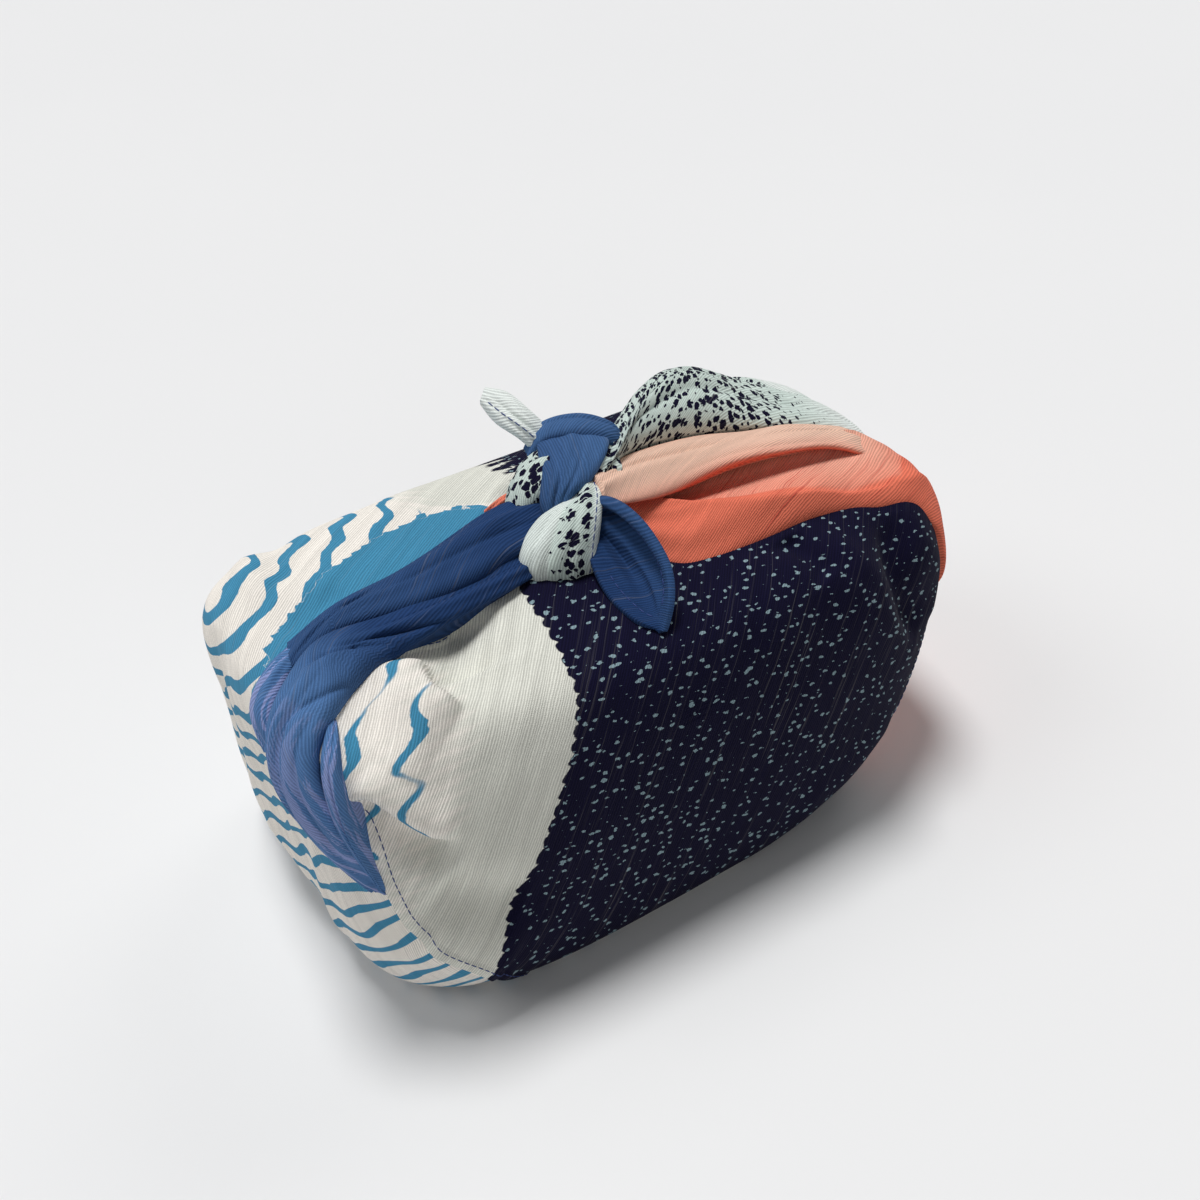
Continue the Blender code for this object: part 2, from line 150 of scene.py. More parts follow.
# Gathered strands, a row per section: the strand's two edges, the rise between them and
# where its crest lies across it, from 0 at edge one to 1 at edge two.
#   edge one x, y, z,   edge two x, y, z,   rise, crest (PLAIN_CREST where it isn't given)
PLAIN_CREST = 0.5
STRANDS = {
    "left_strip": [
        (-99, 7, 111, -103, 0, 112, 2),
        (-110, 3, 108, -112, -7, 110, 4),
        (-118, -1, 102, -119, -13, 106, 4),
        (-121, -10, 92, -121, -18, 97, 2),
    ],
    "left_upper": [
        (-104, 7, 110, -107, -3, 111, 3),
        (-86, 10, 112, -91, -1, 114, 6),
        (-66, 11, 113, -67, -7, 117, 8, 0.45),
        (-45, 13, 116, -49, -8, 119, 9, 0.45),
        (-29, 14, 120, -36, -5, 119, 8, 0.45),
        (-14, 12, 123, -18, -3, 121, 4, 0.4),
    ],
    "left_main": [
        (-18, 2, 116, -22, -6, 112, 3),
        (-42, -5, 118, -41, -12, 115, 4),
        (-74, -4, 116, -67, -14, 113, 6, 0.55),
        (-97, 0, 113, -90, -18, 110, 10, 0.6),
        (-112, -8, 110, -104, -25, 109, 10, 0.6),
        (-119, -14, 104, -113, -32, 106, 9, 0.6),
        (-122, -21, 93, -116, -39, 97, 8, 0.6),
        (-119, -33, 76, -113, -47, 82, 6, 0.6),
        (-111, -49, 62, -108, -51, 62, 2),
    ],
    "left_side": [
        (-106, -24, 109, -105, -27, 108, 2),
        (-113, -33, 105, -109, -38, 103, 6),
        (-115, -42, 90, -110, -46, 89, 6),
        (-111, -49, 71, -108, -51, 69, 4),
        (-108, -51, 61, -107, -52, 60, 1),
    ],
    "right_front": [
        (-4, -1, 128, -9, -8, 123, 3, 0.2),
        (6, 0, 124, -3, -14, 118, 4, 0.15),
        (14, 0, 119, 3, -20, 114, 7, 0.24),
        (27, 0, 117, 13, -30, 111, 9.5, 0.42),
        (48, 1, 116.5, 34, -32, 110, 10.5, 0.68),
        (70, 0, 116, 58, -32, 110, 9, 0.82),
        (87, -2, 114, 75, -34, 107, 6.5, 0.86),
        (98, -4, 113, 95, -37, 103, 7, 0.80),
        (106, -5, 106, 102, -40, 98, 8, 0.68),
        (114, -7, 92, 109, -43, 87, 7, 0.6),
        (118, -8, 68, 114, -42, 66, 5.5, 0.6),
        (116, -6, 48, 112, -31, 46, 3.5, 0.6),
        (102, -5, 30, 101, -20, 30, 2),
    ],
    "right_middle": [
        (-3, 1, 133, -5, -5, 129, 4),
        (17, 9, 128, 9, -7, 125, 5, 0.55),
        (42, 11, 123, 22, -8, 122.5, 6, 0.6),
        (62, 8, 119, 45, -7, 122, 5, 0.7),
        (77, 6, 117, 67, -8, 119.5, 4, 0.75),
        (91, 4, 112, 84, -8, 114, 4, 0.75),
        (101, 1, 107, 96, -12, 108, 4, 0.65),
        (117, 3, 87, 115, -14, 87, 5, 0.6),
        (115, 2, 55, 114, -9, 54, 4),
        (102, 1, 33, 103, -5, 33, 2),
    ],
    "right_back": [
        (10, 14, 133, -1, 1, 131, 6),
        (33, 34, 127, 18, 10, 128, 12),
        (53, 45, 119, 43, 12, 123, 16),
        (78, 44, 111, 70, 8, 117, 9),
        (101, 24, 106, 101, 2, 107, 4),
        (117, 17, 87, 117, 2, 87, 4),
        (115, 9, 55, 115, 1, 55, 4),
        (102, 5, 33, 102, 0, 33, 2),
    ],
    "knot_back": [
        (-16, 20, 118, -30, 4, 118, 5),
        (-10, 22, 127, -22, 6, 127, 7),
        (2, 20, 130, -8, 2, 130, 8),
        (12, 16, 127, 4, -3, 126, 7),
    ],
    "knot_over": [
        (-9, 25, 131, 11, 17, 132, 4),
        (-11, 20, 135, 8, 9, 136, 4),
        (-14, 14, 134, 2, 3, 135, 5),
        (-17, 8, 132, -6, -1, 132, 5),
        (-20, 4, 128, -12, -1, 129, 4),
        (-20, 2, 122, -16, -2, 123, 3),
    ],
    "knot_under": [
        (-9, 2, 129, -1, 6, 130, 3),
        (-15, -1, 127, -4, -5, 130, 4, 0.6),
        (-23, -1, 127, -8, -11, 127, 6, 0.6),
        (-30, -3, 123, -11, -14, 121, 7, 0.55),
        (-34, -6, 117, -13, -16, 115, 6),
        (-32, -8, 108, -15, -14, 108, 3),
    ],
    "knot_roll": [
        (-10, 27, 130, -13, 21, 131, 2),
        (-4, 28, 136, -8, 19, 137, 3),
        (6, 24, 138, 0, 14, 139, 3),
        (14, 18, 135, 8, 10, 136, 3),
        (16, 15, 129, 12, 8, 131, 2),
    ],
    "peeping_fold": [
        (-30, 22, 117, -30, 18, 115, 1),
        (-23, 20, 122, -23, 15, 119, 2),
        (-15, 14, 127, -15, 9, 124, 2),
    ],
    "back_tail": [
        (-9, 20, 129, -2, 23, 134, 3),
        (-14, 26, 136, -7, 30, 141, 3),
        (-18, 34, 139, -10, 39, 144, 3),
        (-19, 41, 142, -15, 44, 145, 2),
    ],
}
# Depth of the lower half of the strands that lie higher than the bedded ones.
UNDERSIDES = {
    "knot_roll": ROLL_DEPTH, "peeping_fold": ROLL_DEPTH, "back_tail": ROLL_DEPTH,
    "knot_over": KNOT_DEPTH, "knot_under": KNOT_DEPTH, "right_middle": FOLD_DEPTH,
}

# How a strand's section leans: how straight its two flanks are (0 round, 1 straight, more is
# hollow), and how far each edge rolls over, in mm.
SHAPES = {
    "right_front": (1.8, 0.6, 0.0, 1.2),
    "right_middle": (0.5, 0.0, 0.0, 6.4),
    "right_back": (0.2, 0.2, 0.0, 1.6),
    "left_main": (0.3, 0.1, 0.6, 2.4),
    "left_upper": (0.2, 0.1, 1.2, 1.6),
    "knot_over": (0.3, 0.3, 0.6, 1.0),
    "knot_under": (0.3, 0.2, 0.4, 1.4),
}
PLAIN_SHAPE = (0.0, 0.0, 0.0, 0.0)

# The flat free end: a row per section, its two edges and how far it sags between them.
#   edge one x, y, z,   edge two x, y, z,   sag
LEAF = [
    (-14, -12, 120, -6, -2, 129, 0),
    (-16, -18, 118, -3, -10, 132, 3.5),
    (-17, -25, 115, -1, -19, 132, 6.5),
    (-17, -31, 113, 0, -29, 129, 7.5),
    (-16, -38, 112, -1, -38, 124, 6.0),
    (-14, -43, 111, -5, -45, 117, 3.0),
    (-10, -46, 109, -9, -48, 110, 0),
]

# Pleats and pinched creases of the strands: where they start and end across the strand
# (0 to 1), half width as a share of it, height in mm (minus is a crease), and the stretch
# of the strand's length over which they run from start to end.
#   start, end, width, height, from, to
PLEATS = {
    "left_upper": [
        (0.30, 0.40, 0.06, -2.2, 0.05, 0.95), (0.62, 0.72, 0.05, -1.8, 0.25, 1.0),
        (0.16, 0.20, 0.05, -1.2, 0.3, 0.9), (0.85, 0.45, 0.06, -2.2, 0.02, 0.34),
        (0.15, 0.55, 0.06, -2.0, 0.0, 0.26), (0.50, 0.52, 0.10, 1.4, 0.3, 0.95),
    ],
    "left_main": [
        (0.38, 0.34, 0.07, -1.6, 0.0, 0.42), (0.95, 0.30, 0.06, -3.0, 0.22, 0.42),
        (0.85, 0.16, 0.06, -2.6, 0.31, 0.48), (0.98, 0.55, 0.06, -2.2, 0.42, 0.60),
        (0.60, 0.42, 0.07, -3.2, 0.45, 1.0), (0.22, 0.20, 0.06, -2.6, 0.48, 1.0),
        (0.40, 0.52, 0.08, 1.8, 0.46, 0.95), (0.84, 0.74, 0.06, -2.2, 0.52, 0.95),
    ],
    "left_side": [
        (0.40, 0.55, 0.08, -1.2, 0.1, 0.9),
    ],
    "right_front": [
        (0.10, 0.26, 0.05, -1.4, 0.02, 0.34), (0.46, 0.40, 0.05, -0.9, 0.14, 0.46),
        (0.66, 0.56, 0.10, 0.8, 0.2, 0.6), (0.45, 0.55, 0.05, -1.2, 0.7, 1.0),
        (0.28, 0.77, 0.035, -1.3, 0.24, 0.44), (0.77, 0.83, 0.035, -1.3, 0.38, 0.60),
    ],
    "right_middle": [
        (0.30, 0.52, 0.06, -1.4, 0.0, 0.42), (0.60, 0.42, 0.06, -1.0, 0.34, 0.95),
        (0.80, 0.86, 0.05, -1.0, 0.2, 0.62),
    ],
    "right_back": [
        (0.20, 0.30, 0.06, -2.2, 0.0, 0.6), (0.50, 0.45, 0.05, -1.8, 0.02, 0.5),
        (0.76, 0.68, 0.05, -1.8, 0.0, 0.7), (0.38, 0.60, 0.05, -1.2, 0.2, 0.56),
    ],
    "knot_over": [
        (0.28, 0.55, 0.06, -1.4, 0.2, 1.0), (0.66, 0.75, 0.05, -1.2, 0.25, 1.0),
        (0.14, 0.30, 0.05, -0.9, 0.3, 0.9),
    ],
    "knot_under": [
        (0.42, 0.32, 0.06, -1.3, 0.0, 1.0), (0.66, 0.60, 0.05, -1.0, 0.1, 1.0),
        (0.22, 0.12, 0.05, -1.0, 0.2, 1.0),
    ],
    "knot_back": [
        (0.40, 0.50, 0.07, -1.2, 0.0, 1.0),
    ],
    "knot_roll": [
        (0.50, 0.35, 0.08, -0.8, 0.1, 0.9),
    ],
    "back_tail": [
        (0.42, 0.50, 0.07, -1.0, 0.0, 0.95),
    ],
    "front_leaf": [
        (0.72, 0.84, 0.07, -4.0, -0.2, 0.70), (0.88, 0.94, 0.09, 2.2, -0.2, 0.8),
        (0.50, 0.36, 0.07, -2.4, -0.2, 0.55), (0.28, 0.20, 0.10, 1.6, -0.1, 0.7),
        (0.56, 0.58, 0.10, 1.5, 0.15, 0.9),
    ],
}

# Stitched hems that show on strands: the share of a section's columns where the line runs,
# and the stretch of the strand's length.
#   strand, column share, from, to
STRAND_SEAMS = [
    ("back_tail", 0.30, 0.15, 0.94),
    ("knot_under", 0.66, 0.12, 0.95),
]

# How the ribs cross each strand: the shares of its length and its girth that count.
RIBS = {
    "left_strip": (0.53, 0.85), "left_upper": (0.53, 0.85), "left_main": (-0.53, 0.85),
    "left_side": (-0.53, 0.85), "knot_over": (-0.30, 0.95), "knot_under": (0.35, 0.94),
    "knot_roll": (0.80, 0.60),
}
PLAIN_RIBS = (0.64, 0.77)

# The dye's bands, across the cloth from its blue corner to its green corner, are counted in
# zones: 0 to 1 is blue, to 2 teal, to 3 cream, to 4 sage, to 5 navy, to 6 coral, to 7 peach
# and to 8 green.  A row holds the way a strand's zone changes, places on that way and zones.
STRAND_ZONES = {
    "left_strip": ("along", [0], [0.45]),
    "left_upper": ("along", [0, 1], [0.24, 0.12]),
    "left_main": ("along", [0, 0.3, 0.55, 1.0], [0.10, 0.14, 0.42, 0.46]),
    "left_side": ("along", [0], [0.44]),
    # right front: paler behind its crest, a painted highlight on the lit slope there
    "right_front": ("from painted highlight edge", [-0.5, -0.08, 0.03], [6.0, 5.82, 5.3]),
    "right_middle": ("across", [0, 0.1, 0.7, 0.93, 1], [6.1, 6.4, 6.25, 6.0, 5.5]),
    "right_back": ("along", [0, 0.1, 0.34, 0.5, 0.62], [7.5, 7.2, 7.25, 7.75, 7.95]),
    "knot_back": ("along", [0], [7.3]),
    "knot_over": ("across", [0, 1], [0.24, 0.32]),
    # knot_under: its pale edges are held greyer than the plain pale green, painted shade on the loop
    "knot_under": ("across", [0.34, 0.46, 0.78, 0.86], [7.84, 7.45, 7.45, 7.84]),
    "knot_roll": ("along", [0], [0.30]),
    "peeping_fold": ("along", [0], [5.7]),
    "back_tail": ("along", [0], [7.96]),
}
# Where the lit crest of the right front strand lies across it: shares along and across. Behind this line
# the strand is dyed paler, a painted highlight on its lit slope.
PAINTED_HIGHLIGHT_EDGE_ALONG = [0.17, 0.25, 0.33, 0.42, 0.5, 0.58, 0.7, 0.8]
PAINTED_HIGHLIGHT_EDGE_ACROSS = [0.22, 0.36, 0.66, 0.82, 0.86, 0.80, 0.2, 0.0]


# ---- shape helpers
def spline(position, rows):
    """Smooth pass through the rows of a table; position counts rows."""
    points = np.asarray(rows, float)
    last = len(points) - 1
    position = np.clip(np.asarray(position, float), 0, last)
    index = np.minimum(position.astype(int), last - 1)
    f = (position - index)[..., None]
    before, start = points[np.maximum(index - 1, 0)], points[index]
    end, after = points[index + 1], points[np.minimum(index + 2, last)]
    bend = 2 * before - 5 * start + 4 * end - after
    return start + 0.5 * f * (end - before + f * (bend + f * (3 * (start - end) + after - before)))


def smooth(low, high, value):
    t = np.clip((value - low) / (high - low), 0, 1)
    return t * t * (3 - 2 * t)


def unit(vectors):
    return vectors / np.maximum(np.linalg.norm(vectors, axis=-1, keepdims=True), 1e-9)


def signed_power(value, squareness):
    return np.sign(value) * np.maximum(np.abs(value), 1e-9) ** (2.0 / squareness)


def bundle_point(angle, row):
    """Point of the plain bundle: angle goes round in plan, row counts rows of PROFILE."""
    height, left, right, front, back = np.moveaxis(spline(row, PROFILE), -1, 0)
    across, deep = np.cos(angle), np.sin(angle)
    at_right = np.where(deep > 0, CORNERS["right_back"], CORNERS["right_front"])
    at_left = np.where(deep > 0, CORNERS["left_back"], CORNERS["left_front"])
    squareness = np.where(across > 0, at_right, at_left)
    x = np.where(across > 0, right, left) * signed_power(across, squareness)
    y = np.where(deep > 0, back, front) * signed_power(deep, squareness)
    return np.stack([x, y, height], -1)


def bundle_normal(angle, row):
    inner = np.clip(row, 0.02, len(PROFILE) - 1.02)
    around = bundle_point(angle + 0.001, row) - bundle_point(angle - 0.001, row)
    upward = bundle_point(angle, inner + 0.02) - bundle_point(angle, inner - 0.02)
    return unit(np.cross(around, upward))


def nearest_on(path, points):
    """Distance to a path, share gone along it, and step and offset at its nearest place."""
    nearest = np.full(len(points), 1e9)
    along = np.zeros(len(points))
    steps = np.zeros((len(points), 3))
    offset = np.zeros((len(points), 3))
    for i in range(len(path) - 1):
        step = path[i + 1] - path[i]
        t = np.clip(((points - path[i]) @ step) / (step @ step), 0, 1)
        away = points - (path[i] + t[:, None] * step)
        distance = np.linalg.norm(away, axis=1)
        closer = distance < nearest
        nearest[closer] = distance[closer]
        along[closer] = (i + t[closer]) / (len(path) - 1)
        steps[closer] = step
        offset[closer] = away[closer]
    return nearest, along, steps, offset


def fold_relief(points, normals):
    """Height of the pressed folds at each point."""
    relief = np.zeros(len(points))
    for name, width, height, lean, line in FOLDS:
        path = spline(np.linspace(0, len(line) - 1, 16), line)
        near = np.linalg.norm(points - path.mean(axis=0), axis=1)
        reach = np.linalg.norm(path - path.mean(axis=0), axis=1).max() + 3 * width * (1 + lean)
        chosen = np.where(near < reach)[0]
        if not len(chosen):
            continue
        distance, along, steps, offset = nearest_on(path, points[chosen])
        side = np.sign(np.sum(np.cross(normals[chosen], steps) * offset, axis=1))
        flank = width * np.where(side > 0, 1 - lean, 1 + lean * 0.6)
        fade = smooth(0, 0.22, np.minimum(along, 1 - along))
        ends = 0.25 if lean == 0 else 0.0
        relief[chosen] += height * (ends + (1 - ends) * fade) * np.exp(-(distance / flank) ** 2)
    return relief


def ripples(points, seed, wavelength, height, count=14):
    """Soft uneven swell of the cloth, from sine waves in random directions."""
    random = np.random.default_rng(seed)
    total = np.zeros(len(points))
    for i in range(count):
        direction = unit(random.normal(size=3))
        length = wavelength * random.uniform(0.7, 1.6)
        total += np.sin(points @ direction * (2 * math.pi / length) + random.uniform(0, 6.28))
    return height * total / math.sqrt(count)


def bundle_skin(angle, row, lift):
    """Finished outside of the bundle, lifted by a distance: points, normals and relief."""
    shape = np.broadcast(angle, row, lift).shape
    angle, row, lift = (np.broadcast_to(value, shape) for value in (angle, row, lift))
    plain = bundle_point(angle, row)
    normal = bundle_normal(angle, row)
    flat_points, flat_normals = plain.reshape(-1, 3), normal.reshape(-1, 3)
    relief = fold_relief(flat_points, flat_normals)
    relief += ripples(flat_points, 3, 60, 0.5) + ripples(flat_points, 4, 22, 0.16)
    relief = relief.reshape(shape) * np.clip((plain[..., 2] - 0.5) / 8.0, 0, 1)
    low = np.clip(plain[..., 2] / 3.0, 0.35, 1)
    points = plain + normal * (relief + lift * low)[..., None]
    points[..., 2] = np.maximum(points[..., 2], 0)
    return points, normal, relief


def from_heart(points):
    """Direction from the bundle's heart, a line along its middle, to each point."""
    heart = np.zeros_like(points)
    heart[..., 0] = np.clip(points[..., 0], -HEART_REACH, HEART_REACH)
    heart[..., 2] = HEIGHT / 2
    return unit(points - heart)


def outward(edge_one, edge_two):
    """Unit direction square to the strand, away from the bundle's heart, at each section."""
    middle = (edge_one + edge_two) / 2
    out = unit(np.cross(edge_two - edge_one, np.gradient(middle, axis=0)))
    return out * np.sign(np.sum(out * from_heart(middle), axis=1, keepdims=True) + 1e-9)


def path_lengths(points, axis):
    """Length gone along a grid of points, from its first row or column."""
    steps = np.linalg.norm(np.diff(points, axis=axis), axis=-1)
    lead = np.zeros_like(np.take(steps, [0], axis=axis))
    return np.cumsum(np.concatenate([lead, steps], axis=axis), axis=axis)


# ---- mesh building
def add_object(name, data):
    thing = bpy.data.objects.new(name, data)
    bpy.context.scene.collection.objects.link(thing)
    return thing


def object_from(name, bm, material):
    """A new object from a finished bmesh."""
    mesh = bpy.data.meshes.new(name)
    bm.to_mesh(mesh)
    bm.free()
    mesh.materials.append(material)
    return add_object(name, mesh)


def mesh_piece(name, points, faces, weave, dye, material):
    mesh = bpy.data.meshes.new(name)
    mesh.from_pydata((points * MM).tolist(), [], faces)
    mesh.update()
    for label, values in (("weave", weave), ("dye", dye)):
        layer = mesh.attributes.new(label, "FLOAT_VECTOR", "POINT")
        layer.data.foreach_set("vector", np.ascontiguousarray(values, np.float32).ravel())
    mesh.shade_smooth()
    mesh.materials.append(material)
    return add_object(name, mesh)


def grid_faces(rows, columns, closed):
    """Quads of a grid of points; closed joins the last column to the first."""
    faces = []
    reach = columns if closed else columns - 1
    for r in range(rows - 1):
        for c in range(reach):
            d = (c + 1) % columns
            low, high = r * columns, (r + 1) * columns
            faces.append((low + c, low + d, high + d, high + c))
    return faces


def tube_faces(rows, columns):
    """Quads of a closed tube of points, and a face over each of its ends."""
    faces = grid_faces(rows, columns, True)
    faces.append(tuple(range(columns))[::-1])
    faces.append(tuple((rows - 1) * columns + i for i in range(columns)))
    return faces


def outside_out(piece):
    bm = bmesh.new()
    bm.from_mesh(piece.data)
    bmesh.ops.recalc_face_normals(bm, faces=bm.faces)
    bm.to_mesh(piece.data)
    bm.free()


# ---- weave and dye coordinates
def weave_of_bundle(points, relief):
    """Across and along the ribs, on the layer that the ends, the back and the left top share."""
    across = points @ np.array([-0.62, 0.85, -0.50]) + 0.3 * relief
    along = points @ np.array([0.60, 0.75, 0.75])
    return np.stack([across, along, np.zeros(len(points))], -1)


def weave_of_flap(points, relief):
    """The same on the outer flap, whose ribs bend towards the left strands."""
    x, y, z = points.T
    pull = (-0.6 * x - 0.8 * z + 0.1 * y) - 24.0
    bend = 9.0 * np.log1p(np.exp(np.clip(pull / 9.0, -30, 30)))
    across = 0.88 * x - 0.66 * y - 0.36 * z + 0.62 * bend + 0.25 * relief
    along = 0.30 * x + 0.55 * y + 0.90 * z
    return np.stack([across, along, np.zeros(len(points))], -1)


def dye_of_bundle(points):
    x, y, z = points.T
    zone = np.interp(x + 0.12 * y + 4 * np.sin(z / 12), [-130, -46, -20, 6, 12, 66, 72, 130],
                     [2.3, 2.5, 3.4, 3.5, 4.5, 4.5, 5.4, 5.5])
    behind = smooth(-2, 34, y) * smooth(68, 98, x)
    zone = zone + behind * (7.9 - zone)
    zone = zone + 0.75 * smooth(-13, -7, y) * smooth(10, 2, y) * smooth(92, 104, x) * smooth(25, 60, z)
    border = np.interp(x, [-114, -99, -79, -60, -38, -24, -10], [8, 20, 30, 37, 37, 30, 10])
    near_strand = smooth(3, -3, y - border) * smooth(96, 102, z) * smooth(-8, -12, x)
    zone = zone - (zone - 1.5) * near_strand
    striped, dotted = x < -31, x > 78
    run = np.where(striped, 1.5 * (0.7 * x + 0.5 * y - 0.6 * z), np.where(dotted, z - 0.3 * x, z - y))
    girth = np.where(striped, 1.5 * (0.75 * z + 0.5 * y - 0.5 * x), np.where(dotted, y - 0.9 * x, x + y))
    return np.stack([zone, run + DYE_ORIGIN, girth + DYE_ORIGIN], -1)


def dye_of_flap(points):
    x, y, z = points.T
    edge = -36 - 0.50 * np.clip(105 - z, 0, 105) + 0.12 * (y + 10)
    zone = np.interp(x - edge, [-80, -46, -40, -24, -3, 3], [2.62, 2.70, 2.78, 3.4, 3.5, 4.5])
    zone = np.maximum(zone, 2.84 * smooth(86, 74, z))
    girth = np.where(x - edge < -12, -0.36 * x + 0.67 * y - 0.2 * z - 1.3, x + 0.25 * z)
    return np.stack([zone, y + z + DYE_ORIGIN, girth + DYE_ORIGIN], -1)


# ---- pieces
def build_bundle(material):
    turns, rises = ((400, 215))
    turn = (np.arange(turns) + 0.5) / turns * 2 * math.pi
    angle = turn - 0.16 * np.sin(4 * turn)
    row = np.linspace(0, len(PROFILE) - 1, rises)
    angle, row = np.meshgrid(angle, row)
    points, normal, relief = bundle_skin(angle, row, np.zeros_like(row))
    count = points.shape[0] * turns
    flat = points.reshape(-1, 3)
    flat = np.concatenate([flat, [[-20, -2, 0]]])
    relief = np.append(relief.ravel(), 0)
    faces = grid_faces(rises, turns, True)
    faces += [(i + 1 if i + 1 < turns else 0, i, count) for i in range(turns)]
    weave = weave_of_bundle(flat, relief)
    piece = mesh_piece("bundle_cloth", flat, faces, weave, dye_of_bundle(flat), material)
    outside_out(piece)
    return piece


def locate(targets):
    """Angle and row of the bundle's surface nearest to each target point."""
    angle, row = np.meshgrid(np.linspace(0, 2 * math.pi, 1441), np.linspace(0, len(PROFILE) - 1, 561))
    surface = bundle_point(angle, row).reshape(-1, 3)
    found = []
    for target in targets:
        index = np.argmin(np.sum((surface - np.array(target, float)) ** 2, axis=1))
        found.append((angle.ravel()[index], row.ravel()[index]))
    return np.array(found)


def build_flap(material):
    """The outer flap: over the top, down the front, its hems at both lower sides."""
    rises, columns = ((230, 260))
    left, right = locate(FLAP_LEFT), locate(FLAP_RIGHT)
    position = np.linspace(0, len(FLAP_LEFT) - 1, rises)
    left, right = spline(position, left), spline(position, right)
    share = np.linspace(0, 1, columns)
    angle = left[:, None, 0] + (right[:, None, 0] - left[:, None, 0]) * share[None, :]
    row = left[:, None, 1] + (right[:, None, 1] - left[:, None, 1]) * share[None, :]
    ground, normal, relief = bundle_skin(angle, row, np.zeros_like(row))
    from_left = path_lengths(ground, 1)
    edge = np.minimum(from_left, from_left[:, -1:] - from_left)
    lift = FLAP_LIFT + HEM_RISE * (1 - smooth(HEM_WIDTH - 0.6, HEM_WIDTH + 0.6, edge))
    points, normal, relief = bundle_skin(angle, row, lift)
    tuck = points[:, [0, -1]] - normal[:, [0, -1]] * FLAP_TUCK
    inward = unit(points[:, [3, -4]] - points[:, [0, -1]])
    under = tuck + inward * HEM_UNDER
    points = np.concatenate([under[:, :1], tuck[:, :1], points, tuck[:, 1:], under[:, 1:]], axis=1)
    relief = np.pad(relief, ((0, 0), (2, 2)), mode="edge")
    points[..., 2] = np.maximum(points[..., 2], 0.0)
    flat = points.reshape(-1, 3)
    faces = grid_faces(rises, points.shape[1], False)
    weave = weave_of_flap(flat, relief.ravel())
    piece = mesh_piece("front_flap", flat, faces, weave, dye_of_flap(flat), material)
    return piece, points[:, 2:-2], normal, from_left


def strand_grid(name, along, over, under):
    rows = [(*row, PLAIN_CREST)[:8] for row in STRANDS[name]]
    depth = UNDERSIDES.get(name, STRAND_DEPTH)
    count = (len(rows) - 1) * along + 1
    table = spline(np.linspace(0, len(rows) - 1, count), rows)
    one, two, rise, crest = table[:, 0:3], table[:, 3:6], table[:, 6], table[:, 7:8]
    out = outward(one, two)
    top = (1 - np.cos(np.linspace(0, math.pi, over))) / 2
    low = (1 + np.cos(np.linspace(0, math.pi, under + 2)[1:-1])) / 2
    share = np.concatenate([top, low])
    arc = np.sqrt(np.maximum(1 - (2 * share - 1) ** 2, 0))
    arc[over:] *= -1
    straight_one, straight_two, roll_one, roll_two = SHAPES.get(name, PLAIN_SHAPE)
    before = share[None, :] < crest
    gone = np.where(before, (crest - share) / crest, (share - crest) / (1 - crest))
    progress = np.linspace(0, 1, count)[:, None]
    # the first flank grows rounder over the second half of the strand
    eased = straight_one * (1 - 0.8 * smooth(0.5, 0.7, progress))
    straight = np.where(before, eased, straight_two)
    round_arc = np.sqrt(np.maximum(1 - gone ** 2, 0))
    raised = np.maximum((1 - straight) * round_arc + straight * (1 - gone), 0)
    chord = one[:, None] + (two - one)[:, None] * share[None, :, None]
    over_the_rise = out[:, None] * (rise[:, None] * raised)[..., None]
    level = unit(two - one)[:, None]
    roll = roll_two * smooth(0.55, 1.0, share) - roll_one * smooth(0.45, 0.0, share)
    over_the_rise = over_the_rise + level * (roll * np.sqrt(raised))[..., None]
    under_it = from_heart(chord) * (depth * arc)[None, :, None]
    points = chord + np.where(arc[None, :, None] > 0, over_the_rise, under_it)
    return points, share, arc, out


def strand_zone(name, along, across):
    """Dye zone of a strand at shares of its length and its width; on the right front strand it also
    paints a highlight behind the crest.
    """
    way, places, zones = STRAND_ZONES[name]
    # the right front strand's zone steps at its crest line, painting a highlight on the slope behind it
    if way == "from painted highlight edge":
        position = across - np.interp(along, PAINTED_HIGHLIGHT_EDGE_ALONG, PAINTED_HIGHLIGHT_EDGE_ACROSS)
    else:
        position = along if way == "along" else across
    return np.interp(position, places, zones)


def pleat_relief(name, progress, across):
    """Height of a piece's pleats and creases at shares of its length and its width."""
    relief = np.zeros(np.broadcast(progress, across).shape)
    for start, end, width, height, begin, finish in PLEATS.get(name, ()):
        gone = np.clip((progress - begin) / (finish - begin), 0, 1)
        ease = 0.35 * (finish - begin)
        fade = smooth(begin - 0.3 * ease, begin + ease, progress)
        fade = fade * (1 - smooth(finish - ease, finish, progress))
        away = np.abs(across - start - (end - start) * gone) / width
        relief += height * fade * (np.exp(-away) if height < 0 else np.exp(-away ** 2))
    return relief


